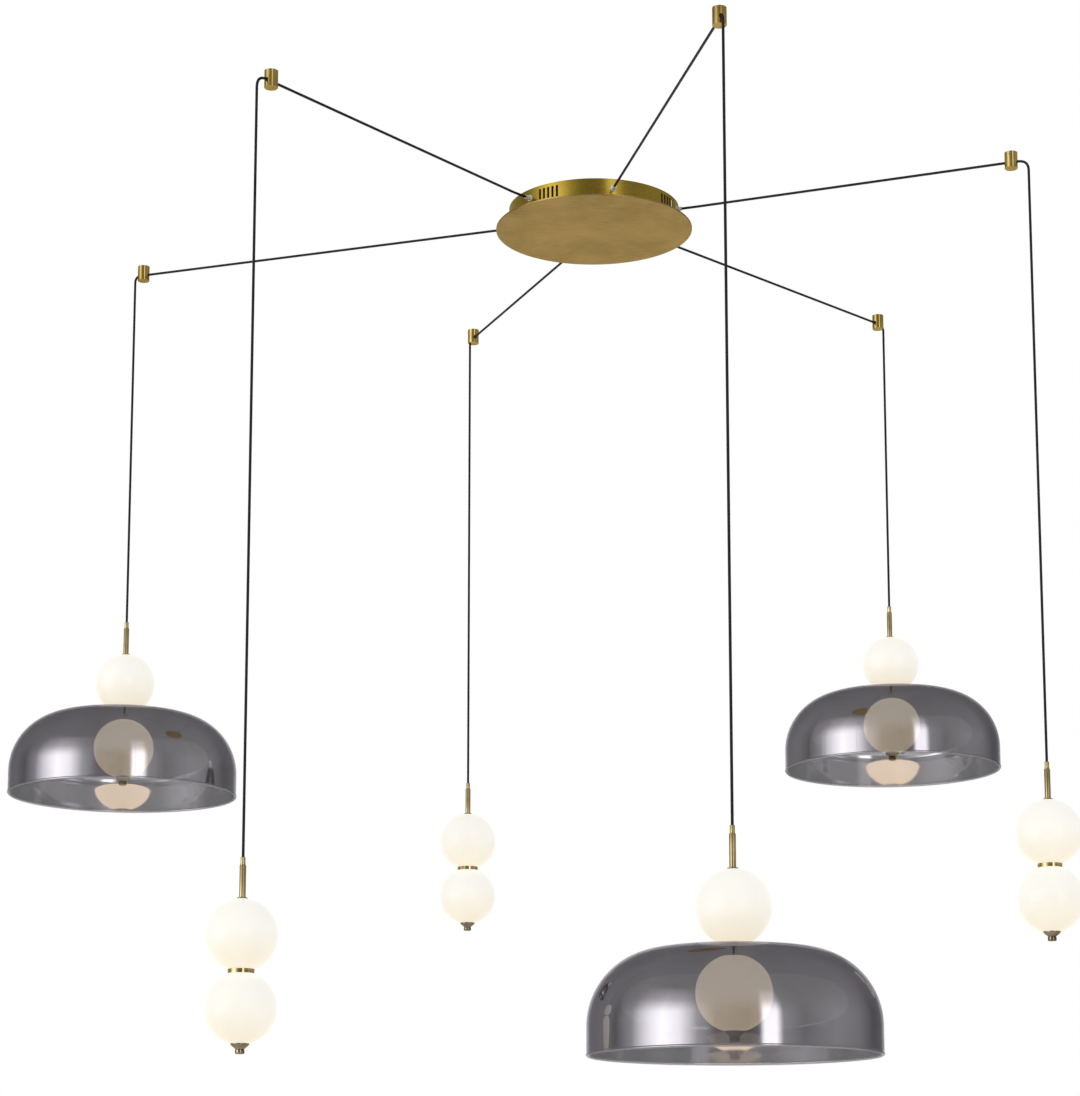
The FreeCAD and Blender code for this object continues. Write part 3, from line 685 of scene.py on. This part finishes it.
def pale_floor():
    """Matt and pale. Its glow is seen and mirrored but lights nothing diffusely."""
    glow_strength = 0.45
    material, tree, shader = new_material("pale_floor", linear(238, 237, 234), 0.0, 0.8)
    shader.inputs["Emission Color"].default_value = linear(248, 248, 246)
    seen, rays = background_rays(tree)
    factor = add(tree, "ShaderNodeMath", operation="MAXIMUM")
    tree.links.new(seen.outputs["Value"], factor.inputs[0])
    tree.links.new(rays.outputs["Is Glossy Ray"], factor.inputs[1])
    glow = add(tree, "ShaderNodeMath", operation="MULTIPLY")
    glow.inputs[1].default_value = glow_strength
    tree.links.new(factor.outputs["Value"], glow.inputs[0])
    tree.links.new(glow.outputs["Value"], shader.inputs["Emission Strength"])
    return material


def floor():
    half_size = 6.0
    level = -2.6
    corners = []
    for x, y in ((-1, -1), (1, -1), (1, 1), (-1, 1)):
        corners.append((x * half_size, y * half_size, level))
    mesh_data = bpy.data.meshes.new("floor")
    mesh_data.from_pydata(corners, [], [(0, 1, 2, 3)])
    plane = bpy.data.objects.new("floor", mesh_data)
    bpy.context.collection.objects.link(plane)
    plane.data.materials.append(pale_floor())


def soft_light(name, place, target, width, height, power):
    """A rectangular lamp that mirrors don't show."""
    light = bpy.data.lights.new(name, "AREA")
    light.shape = "RECTANGLE"
    light.size = width
    light.size_y = height
    light.energy = power
    holder = bpy.data.objects.new(name, light)
    holder.location = place
    holder.rotation_euler = (Vector(target) - Vector(place)).to_track_quat("-Z", "Y").to_euler()
    holder.visible_glossy = False
    bpy.context.collection.objects.link(holder)


def brightness_ramp(tree, factor, stops):
    """A ramp of grey values; stops are (position, value)."""
    ramp = add(tree, "ShaderNodeValToRGB")
    elements = ramp.color_ramp.elements
    for element, stop in zip((elements[0], elements[1]), (stops[0], stops[-1])):
        element.position = stop[0]
        element.color = (stop[1], stop[1], stop[1], 1)
    for place, value in stops[1:-1]:
        elements.new(place).color = (value, value, value, 1)
    tree.links.new(factor, ramp.inputs["Fac"])
    return ramp


def bearing_of(tree, split):
    """0.5 is straight behind the camera, 0 and 1 are beyond the part, and left is below 0.5."""
    front = add(tree, "ShaderNodeMath", operation="MULTIPLY")
    front.inputs[1].default_value = -1.0
    tree.links.new(split.outputs["Y"], front.inputs[0])
    bearing = add(tree, "ShaderNodeMath", operation="ARCTAN2")
    tree.links.new(split.outputs["X"], bearing.inputs[0])
    tree.links.new(front.outputs["Value"], bearing.inputs[1])
    turn = add(tree, "ShaderNodeMath", operation="MULTIPLY_ADD")
    turn.inputs[1].default_value = 0.5 / math.pi
    turn.inputs[2].default_value = 0.5
    tree.links.new(bearing.outputs["Value"], turn.inputs[0])
    return turn


def room_light(tree, split, room):
    """The room: a broad light on the left, a narrow one on the right, dim above and below."""
    turn = bearing_of(tree, split)
    around = brightness_ramp(tree, turn.outputs["Value"], [
        (0.0, 0.60), (0.15, 0.50), (0.20, 0.24), (0.25, 0.80), (0.29, 2.6), (0.33, 4.0), (0.37, 3.2),
        (0.41, 1.0), (0.45, 0.30), (0.52, 0.16), (0.542, 0.35), (0.552, 3.8), (0.578, 3.8),
        (0.592, 0.70), (0.64, 0.36), (0.72, 0.62), (0.80, 0.50), (0.86, 0.26), (1.0, 0.60)])
    lift = add(tree, "ShaderNodeMath", operation="MULTIPLY_ADD")
    lift.inputs[1].default_value = 0.5
    lift.inputs[2].default_value = 0.5
    tree.links.new(split.outputs["Z"], lift.inputs[0])
    height = brightness_ramp(tree, lift.outputs["Value"], [
        (0.0, 0.0), (0.22, 0.25), (0.38, 0.9), (0.48, 1.0), (0.60, 0.9),
        (0.72, 0.25), (0.84, 0.0), (1.0, 0.0)])
    far = brightness_ramp(tree, lift.outputs["Value"], [
        (0.0, 0.80), (0.35, 0.62), (0.5, 0.46), (0.75, 0.42), (1.0, 0.36)])
    blend = add(tree, "ShaderNodeMixRGB")
    tree.links.new(height.outputs["Color"], blend.inputs["Fac"])
    tree.links.new(far.outputs["Color"], blend.inputs["Color1"])
    tree.links.new(around.outputs["Color"], blend.inputs["Color2"])
    tree.links.new(blend.outputs["Color"], room.inputs["Color"])


def world():
    """White for camera and transmission rays, and for glossy rays far beyond the part; else the room."""
    sky = bpy.data.worlds.new("studio")
    bpy.context.scene.world = sky
    sky.use_nodes = True
    tree = sky.node_tree
    tree.nodes.clear()
    coordinates = add(tree, "ShaderNodeTexCoord")
    split = add(tree, "ShaderNodeSeparateXYZ")
    tree.links.new(coordinates.outputs["Generated"], split.inputs["Vector"])
    room = add(tree, "ShaderNodeBackground")
    room_light(tree, split, room)
    white = add(tree, "ShaderNodeBackground")
    white.inputs["Color"].default_value = (1, 1, 1, 1)

    seen, rays = background_rays(tree)
    behind = add(tree, "ShaderNodeMapRange")
    behind.inputs["From Min"].default_value = 0.90
    behind.inputs["From Max"].default_value = 0.99
    behind.inputs["To Max"].default_value = 0.8
    tree.links.new(split.outputs["Y"], behind.inputs["Value"])
    glossy = add(tree, "ShaderNodeMath", operation="MULTIPLY")
    tree.links.new(rays.outputs["Is Glossy Ray"], glossy.inputs[0])
    tree.links.new(behind.outputs["Result"], glossy.inputs[1])
    factor = add(tree, "ShaderNodeMath", operation="MAXIMUM")
    tree.links.new(seen.outputs["Value"], factor.inputs[0])
    tree.links.new(glossy.outputs["Value"], factor.inputs[1])
    mix = add(tree, "ShaderNodeMixShader")
    tree.links.new(factor.outputs["Value"], mix.inputs["Fac"])
    tree.links.new(room.outputs["Background"], mix.inputs[1])
    tree.links.new(white.outputs["Background"], mix.inputs[2])
    output = add(tree, "ShaderNodeOutputWorld")
    tree.links.new(mix.outputs["Shader"], output.inputs["Surface"])


def camera():
    """A long lens below and in front, looking up a little, with the photo's upward shift."""
    lens_pixels = 2794.6
    frame_height_pixels = 1096.0
    tilt_up_degrees = 9.564
    data = bpy.data.cameras.new("camera")
    data.sensor_width = 36.0
    data.lens = lens_pixels / frame_height_pixels * data.sensor_width
    data.shift_y = 0.2004
    holder = bpy.data.objects.new("camera", data)
    holder.location = (-0.0884, -4.3607, -1.6608)
    holder.rotation_euler = (math.radians(90 + tilt_up_degrees), 0, 0)
    bpy.context.collection.objects.link(holder)
    bpy.context.scene.camera = holder


camera()
world()
floor()
soft_light("key_left", (-2.6, -2.6, -0.4), (0, 0, -0.9), 1.6, 2.0, 22)
soft_light("fill_right", (2.4, -3.0, -1.0), (0.2, 0, -0.9), 1.4, 2.0, 16)
# Dark plates inside the canopy: painted shade behind the vent slots.
painted_vent_shade_plates()
finish_cad_nodes()
for each in NUMBERS:
    cord(each)
    pendant(each)
bpy.context.scene.view_settings.view_transform = "Standard"
